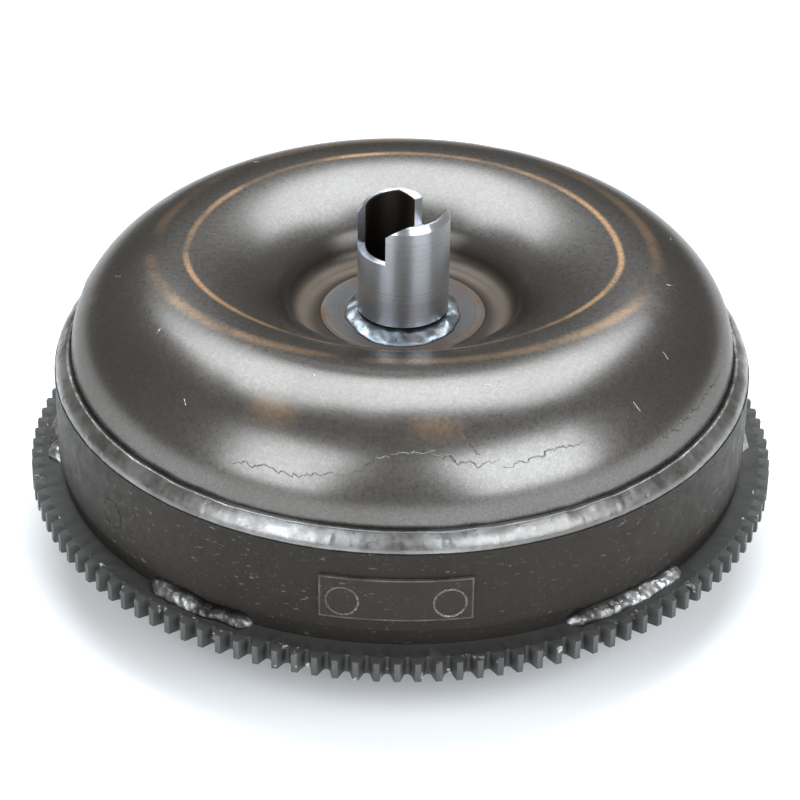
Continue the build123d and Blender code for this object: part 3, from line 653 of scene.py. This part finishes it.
def dome_skin():
    """The pressed shell at high resolution, with faint press waves and a few shallow dents."""
    outer, inner = dome_profile()
    dents = [(math.radians(deg), r * MM, depth * MM, size * MM) for deg, r, depth, size in DENTS]

    def shift(r, z, angle, share, i):
        if i >= len(outer) or r > WALL_R + 0.01 * MM:
            return r, z
        wave = 0.07 * MM * lump(r, z, angle, 16.0, 4.4)
        for place, at, depth, size in dents:
            turn = (angle - place + math.pi) % (2 * math.pi) - math.pi
            away = (turn * r) ** 2 + (r - at) ** 2
            wave -= depth * math.exp(-away / size ** 2)
        fade = min(1.0, max(0.0, (r - 42.0 * MM) / (6.0 * MM)))
        return r, min(z + wave * fade, CREST_Z)

    return lathe("impeller_dome", outer + inner, 0.0, 360.0, 900, shift)


# angle, radius, depth, size; degrees and mm
DENTS = ((-62.0, 124.0, 0.20, 5.0), (-128.0, 118.0, 0.16, 6.0), (-20.0, 112.0, 0.14, 5.0),
         (150.0, 120.0, 0.18, 6.0), (70.0, 116.0, 0.15, 6.0), (-96.0, 108.0, 0.12, 7.0))


def dome_point(r, angle):
    """A point of the dome's outer surface at radius r, outside the crest."""
    arcs, _ = dome_arcs()
    for centre, size, first, last, _ in arcs[:2]:
        reach = r - centre[0]
        if abs(reach) <= size:
            z = centre[1] + math.sqrt(size ** 2 - reach ** 2)
            low = centre[1] + size * math.sin(math.radians(first))
            high = centre[1] + size * math.sin(math.radians(last))
            if low - 1e-6 <= z <= high + 1e-6:
                return Vector((r * math.cos(angle), r * math.sin(angle), z))
    dish = arcs[2]
    reach = min(dish[1], abs(r - dish[0][0]))
    z = dish[0][1] + math.sqrt(dish[1] ** 2 - reach ** 2)
    return Vector((r * math.cos(angle), r * math.sin(angle), z))


def ridge(name, points, thick, seed):
    """A thin uneven raised line along points: a flat-bottomed bead three sides wide."""
    verts = []
    faces = []
    sides = 5
    for k, point in enumerate(points):
        ahead = points[min(k + 1, len(points) - 1)] - points[max(k - 1, 0)]
        up = Vector((point.x, point.y, 0.0)).normalized() * 0.5 + Vector((0, 0, 0.85))
        side = ahead.cross(up).normalized()
        up = side.cross(ahead).normalized()
        taper = math.sin(math.pi * (k + 0.3) / (len(points) - 0.4)) ** 0.5
        size = thick * taper * (0.7 + 0.5 * abs(noise.noise(point * 400.0 + Vector((seed, 0, 0)))))
        for i in range(sides):
            a = math.pi * 2 * i / sides
            verts.append(point + side * size * 1.5 * math.cos(a) + up * size * 0.55 * math.sin(a))
    for k in range(len(points) - 1):
        for i in range(sides):
            j = (i + 1) % sides
            faces.append((k * sides + i, k * sides + j, (k + 1) * sides + j, (k + 1) * sides + i))
    faces.append(tuple(reversed(range(sides))))
    faces.append(tuple(range((len(points) - 1) * sides, len(points) * sides)))
    return mesh_object(name, [tuple(v) for v in verts], faces)


def wrinkle(number, start_deg, end_deg, r_start, r_end, jitter, seed):
    """A wandering crack line in the lacquer, low on the dome's near slope."""
    chance = random.Random(seed)
    steps = max(8, int(abs(end_deg - start_deg) * 2.2))
    points = []
    drift = 0.0
    for k in range(steps + 1):
        t = k / steps
        drift = 0.72 * drift + chance.uniform(-1.0, 1.0) * jitter
        r = (r_start + (r_end - r_start) * t + drift) * MM
        angle = math.radians(start_deg + (end_deg - start_deg) * t + chance.uniform(-0.25, 0.25))
        points.append(dome_point(min(r, WALL_R - 0.6 * MM), angle))
    return ridge(f"lacquer_wrinkle_{number}", points, 0.34 * MM, seed)


def nick(number, angle_deg, r, heading_deg, length, seed):
    """A short raised burr beside a nick."""
    angle = math.radians(angle_deg)
    points = []
    for k in range(5):
        s = (k / 4 - 0.5) * length * MM
        along = s * math.cos(math.radians(heading_deg))
        out = s * math.sin(math.radians(heading_deg))
        points.append(dome_point(r * MM + out, angle + along / (r * MM)))
    return ridge(f"nick_{number}", points, 0.24 * MM, seed)


# start angle, end angle, start radius, end radius, jitter; degrees and mm
WRINKLES = (
    (-119.0, -98.0, 134.6, 133.0, 0.5),
    (-98.5, -91.0, 133.0, 127.0, 0.7),
    (-86.0, -73.0, 127.0, 131.5, 0.9),
    (-79.0, -76.5, 123.0, 128.5, 0.8),
    (-73.0, -57.0, 131.0, 130.0, 0.6),
    (-48.0, -18.0, 137.0, 136.0, 0.35),
    (-92.0, -84.0, 126.6, 126.0, 0.5),
    (160.0, 176.0, 136.4, 135.0, 0.4),
    (96.0, 120.0, 134.0, 135.5, 0.5),
)
# angle, radius, heading, length; degrees and mm
NICKS = (
    (-71.0, 103.0, 20.0, 4.0),
    (-68.5, 104.0, 100.0, 4.0),
    (-150.0, 112.0, 60.0, 3.0),
    (-30.0, 121.0, 110.0, 3.5),
    (-8.0, 110.0, 70.0, 3.0),
    (14.0, 116.0, 20.0, 3.0),
    (-176.0, 118.0, 140.0, 3.5),
    (128.0, 106.0, 40.0, 3.0),
    (60.0, 120.0, 100.0, 3.0),
    (-110.0, 99.0, 60.0, 2.5),
    (-44.0, 128.0, 75.0, 3.5),
    (-132.0, 126.0, 30.0, 3.0),
)


# ---------------------------------------------------------------- studio
def area_light(name, azimuth, elevation, distance, width, height, brightness, tone):
    """A softbox aimed at the dome; brightness is its radiance."""
    data = bpy.data.lights.new(name, "AREA")
    data.shape = "RECTANGLE"
    data.size = width
    data.size_y = height
    data.energy = brightness * math.pi * width * height
    data.color = tone
    lamp = bpy.data.objects.new(name, data)
    a, e = math.radians(azimuth), math.radians(elevation)
    spot = Vector((math.sin(a) * math.cos(e), math.cos(a) * math.cos(e), math.sin(e))) * distance
    aim = Vector((0.0, 0.0, 0.08))
    lamp.location = aim + spot
    lamp.rotation_euler = (-spot).to_track_quat("-Z", "Y").to_euler()
    bpy.context.scene.collection.objects.link(lamp)
    lamp.visible_camera = False


def world():
    """White behind the object for the camera, dim grey for everything else."""
    scene = bpy.context.scene
    scene.world = bpy.data.worlds.new("studio")
    scene.world.use_nodes = True
    tree = scene.world.node_tree
    tree.nodes.clear()
    seen = tree.nodes.new("ShaderNodeBackground")
    seen.inputs["Color"].default_value = (1.0, 1.0, 1.0, 1.0)
    dim = tree.nodes.new("ShaderNodeBackground")
    dim.inputs["Color"].default_value = (0.30, 0.28, 0.255, 1.0)
    path = tree.nodes.new("ShaderNodeLightPath")
    mix = tree.nodes.new("ShaderNodeMixShader")
    out = tree.nodes.new("ShaderNodeOutputWorld")
    tree.links.new(path.outputs["Is Camera Ray"], mix.inputs[0])
    tree.links.new(dim.outputs[0], mix.inputs[1])
    tree.links.new(seen.outputs[0], mix.inputs[2])
    tree.links.new(mix.outputs[0], out.inputs[0])
    scene.view_settings.view_transform = "Standard"
    scene.view_settings.look = "None"


def floor():
    """Round white floor under the lowest point, no wider than the lamps light evenly."""
    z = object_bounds()[0][2]
    reach = 1.15
    corners = 96
    rim = []
    for k in range(corners):
        angle = 2 * math.pi * k / corners
        rim.append((reach * math.cos(angle), reach * math.sin(angle), z))
    plate = mesh_object("studio_floor", rim, [tuple(range(corners))])
    n = Nodes("white_floor")
    wear(plate, n.finish(n.ramp(n.noise(3.0), (0.3, 0.86), (0.7, 0.90)), 0.9, 0.0))
    plate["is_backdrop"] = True


LENS = 135.3
EYE = (-1.0788, 0.7176)              # y, and height over the ring gear's lower face
AIM = Vector((-0.0006, 0.0135, 0.0203))
CAMERA_ROLL = 0.857                  # degrees


def camera():
    """The viewing angle: 33.6 degrees above the ring gear's plane, slightly rolled."""
    base = bottom("ring_gear")
    data = bpy.data.cameras.new("camera")
    data.lens = LENS
    data.sensor_width = 36.0
    eye = bpy.data.objects.new("camera", data)
    eye.location = (0.0, EYE[0], EYE[1] + base)
    aim = AIM + Vector((0.0, 0.0, base))
    look = (aim - eye.location).to_track_quat("-Z", "Y")
    roll = Euler((0.0, 0.0, math.radians(CAMERA_ROLL)))
    eye.rotation_euler = (look.to_matrix() @ roll.to_matrix()).to_euler()
    bpy.context.scene.collection.objects.link(eye)
    bpy.context.scene.camera = eye


# ---------------------------------------------------------------- put it together
def place(piece, material, slot, *replaced):
    wear(piece, material)
    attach(piece, BODY)
    if replaced:
        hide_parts(*replaced)


DRUM = drum_material("drum_coating", (0.018, 0.0155, 0.013), (0.034, 0.030, 0.025))
WEIGHT = drum_material("weight_coating", (0.022, 0.019, 0.016), (0.040, 0.035, 0.030),
                       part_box("balance_weight"))
SPOT = weld_material("spot_metal", (0.035, 0.032, 0.029), (0.20, 0.19, 0.18), (0.06, 0.055, 0.05), 0.8)
BAND_WELD = weld_material("band_weld", (0.14, 0.135, 0.127), (0.28, 0.28, 0.28),
                          (0.15, 0.135, 0.115), 0.85, 0.22)
RING_WELD = weld_material("ring_weld", (0.055, 0.053, 0.050), (0.60, 0.60, 0.60),
                          (0.10, 0.09, 0.08), 0.92, 0.35)
HUB_WELD = weld_material("hub_weld_metal", (0.085, 0.095, 0.105), (0.34, 0.385, 0.42),
                         (0.12, 0.095, 0.075), 0.9, 0.14)
DOME = dome_material()
HARD = plain_metal("hardened_steel", (0.50, 0.50, 0.51), (0.62, 0.62, 0.63), (0.18, 0.28))
PRESSED = plain_metal("pressed_steel", (0.32, 0.32, 0.32), (0.46, 0.46, 0.45))
SPRING = plain_metal("spring_steel", (0.20, 0.20, 0.21), (0.32, 0.32, 0.33))
CAGE = plain_metal("cage_steel", (0.42, 0.38, 0.30), (0.54, 0.50, 0.42))
ALLOY = plain_metal("cast_alloy", (0.58, 0.58, 0.59), (0.72, 0.72, 0.73), (0.42, 0.6))
MACHINED = plain_metal("machined_steel", (0.34, 0.34, 0.35), (0.50, 0.50, 0.51), (0.26, 0.4))
SEAL = plain_metal("seal_polymer", (0.03, 0.03, 0.03), (0.06, 0.06, 0.06), (0.5, 0.7), 0.0)
BY_SLOT = {
    "dark_steel": DRUM,
    "gear_steel": gear_material(),
    "lacquered_steel": DOME,
    "flange_steel": flange_material(),
    "ground_steel": ground_material(),
    "machined_steel": MACHINED,
    "weld_metal": RING_WELD,
    "hardened_steel": HARD,
    "pressed_steel": PRESSED,
    "spring_steel": SPRING,
    "cage_steel": CAGE,
    "cast_aluminium": ALLOY,
    "friction_paper": paper_material(),
    "seal_polymer": SEAL,
}

for part in frame["record"]["subparts"]:
    wear(NODES[part["node"]], BY_SLOT[part["material_slot"]])
wear(NODES["balance_weight"], WEIGHT)

place(dome_skin(), DOME, "lacquered_steel", "impeller_shell")
place(closure_band(), BAND_WELD, "weld_metal", "closure_weld")
for number, centre in enumerate(RING_WELD_CENTRES):
    bead = ring_bead(number, centre, RING_WELD_SPANS[number], 1.3 + number)
    place(bead, RING_WELD, "weld_metal")
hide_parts("ring_gear_welds")
place(hub_bead(), HUB_WELD, "weld_metal", "hub_weld")
for number, spot in enumerate(WEIGHT_SPOTS):
    piece = spot_ring(number, spot, SPOT_HEIGHT, 7.0 * MM, 5.7 * MM, 3.0 + number)
    place(piece, SPOT, "dark_steel")
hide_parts("balance_spot_welds")
place(spot_ring("drum", -142.2, bottom("ring_gear") + 30.0 * MM, 6.6 * MM, 6.0 * MM, 9.0), DRUM, "dark_steel")
for number, values in enumerate(WRINKLES):
    place(wrinkle(number, *values, 11 + number), DOME, "lacquered_steel")
for number, values in enumerate(NICKS):
    place(nick(number, *values, 5.0 + number), MACHINED, "machined_steel")

world()
floor()
COOL = (0.88, 0.94, 1.0)
area_light("overhead_box", 0.0, 64.0, 1.5, 1.7, 1.1, 6.2, COOL)
area_light("left_box", -141.0, 27.0, 1.5, 0.85, 1.25, 6.0, COOL)
area_light("right_box", 137.0, 27.0, 1.5, 1.15, 1.25, 6.0, COOL)
camera()
